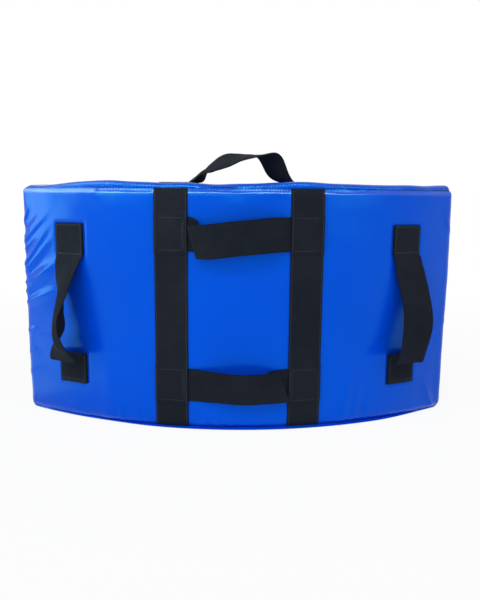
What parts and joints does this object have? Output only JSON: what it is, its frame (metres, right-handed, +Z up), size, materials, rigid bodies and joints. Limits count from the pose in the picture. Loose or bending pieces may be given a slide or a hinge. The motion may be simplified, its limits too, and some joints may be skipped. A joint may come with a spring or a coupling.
{
  "type": "tackle shield",
  "caption": "Curved foam-filled tackle shield with a coated fabric cover, webbing hand grips, side handles, a carry handle on top and a zipped end.",
  "frame": {"origin": "on the flat underside, at mid length and mid thickness", "axes": "+X along the length, to the right of someone who looks at the holder's side; +Y towards the hit face; +Z up. The shield stands on its long edge."},
  "size_m": [0.6854, 0.2246, 0.4165],
  "materials": {
    "cover": "glossy coated fabric",
    "foam": "open foam",
    "impact_foam": "soft foam",
    "webbing": "woven webbing",
    "lining": "coated fabric, reverse side",
    "zip_tape": "woven tape",
    "zip_teeth": "moulded teeth",
    "nickel": "nickel plated"
  },
  "bodies": {
    "shield": {"back_panel": "cover", "hit_panel": "cover", "top_gusset": "cover", "bottom_gusset": "cover", "left_end_panel": "cover", "right_end_panel": "cover", "foam_core": "foam", "impact_layer": "impact_foam", "left_strap": "webbing", "right_strap": "webbing", "upper_grip_left_end": "webbing", "upper_grip_right_end": "webbing", "lower_grip_left_end": "webbing", "lower_grip_right_end": "webbing", "left_handle_upper_end": "webbing", "left_handle_lower_end": "webbing", "right_handle_upper_end": "webbing", "right_handle_lower_end": "webbing", "carry_handle_left_end": "webbing", "carry_handle_right_end": "webbing", "left_backing": "lining", "right_backing": "lining", "top_backing": "lining", "zip_front_tape": "zip_tape", "zip_rear_tape": "zip_tape", "zip_teeth": "zip_teeth", "zip_top_stop": "nickel", "zip_bottom_stop": "nickel", "vent_eyelet_low": "nickel", "vent_eyelet_high": "nickel", "vent_washer_low": "nickel", "vent_washer_high": "nickel"},
    "upper_grip": {"upper_grip": "webbing"},
    "lower_grip": {"lower_grip": "webbing"},
    "left_handle": {"left_handle": "webbing"},
    "right_handle": {"right_handle": "webbing"},
    "carry_handle": {"carry_handle": "webbing"},
    "zip_slider": {"zip_slider": "nickel"},
    "zip_pull": {"zip_pull": "nickel"}
  },
  "joints": [
    {"name": "upper_grip_swing", "type": "hinge", "parent": "shield", "child": "upper_grip", "pos_m": [0, -0.057, 0.2965], "axis": [1, 0, 0], "range_deg": [-18, 18], "stiffness_Nm_per_rad": 0.2},
    {"name": "lower_grip_swing", "type": "hinge", "parent": "shield", "child": "lower_grip", "pos_m": [0, -0.057, 0.0705], "axis": [1, 0, 0], "range_deg": [-18, 18], "stiffness_Nm_per_rad": 0.2},
    {"name": "left_handle_swing", "type": "hinge", "parent": "shield", "child": "left_handle", "pos_m": [-0.2578, -0.0035, 0.18], "axis": [0, 0, 1], "range_deg": [-18, 18], "stiffness_Nm_per_rad": 0.2},
    {"name": "right_handle_swing", "type": "hinge", "parent": "shield", "child": "right_handle", "pos_m": [0.2578, -0.0035, 0.18], "axis": [0, 0, 1], "range_deg": [-18, 18], "stiffness_Nm_per_rad": 0.2},
    {"name": "carry_handle_swing", "type": "hinge", "parent": "shield", "child": "carry_handle", "pos_m": [0, 0.005, 0.369], "axis": [1, 0, 0], "range_deg": [-20, 20], "stiffness_Nm_per_rad": 0.2},
    {"name": "zip_slide", "type": "slide", "parent": "shield", "child": "zip_slider", "axis": [0, 0, -1], "range_m": [0, 0.286]},
    {"name": "zip_pull_swing", "type": "hinge", "parent": "zip_slider", "child": "zip_pull", "pos_m": [0.31882, 0.09979, 0.32775], "axis": [0.5592, -0.829, 0], "range_deg": [0, 170]}
  ]
}
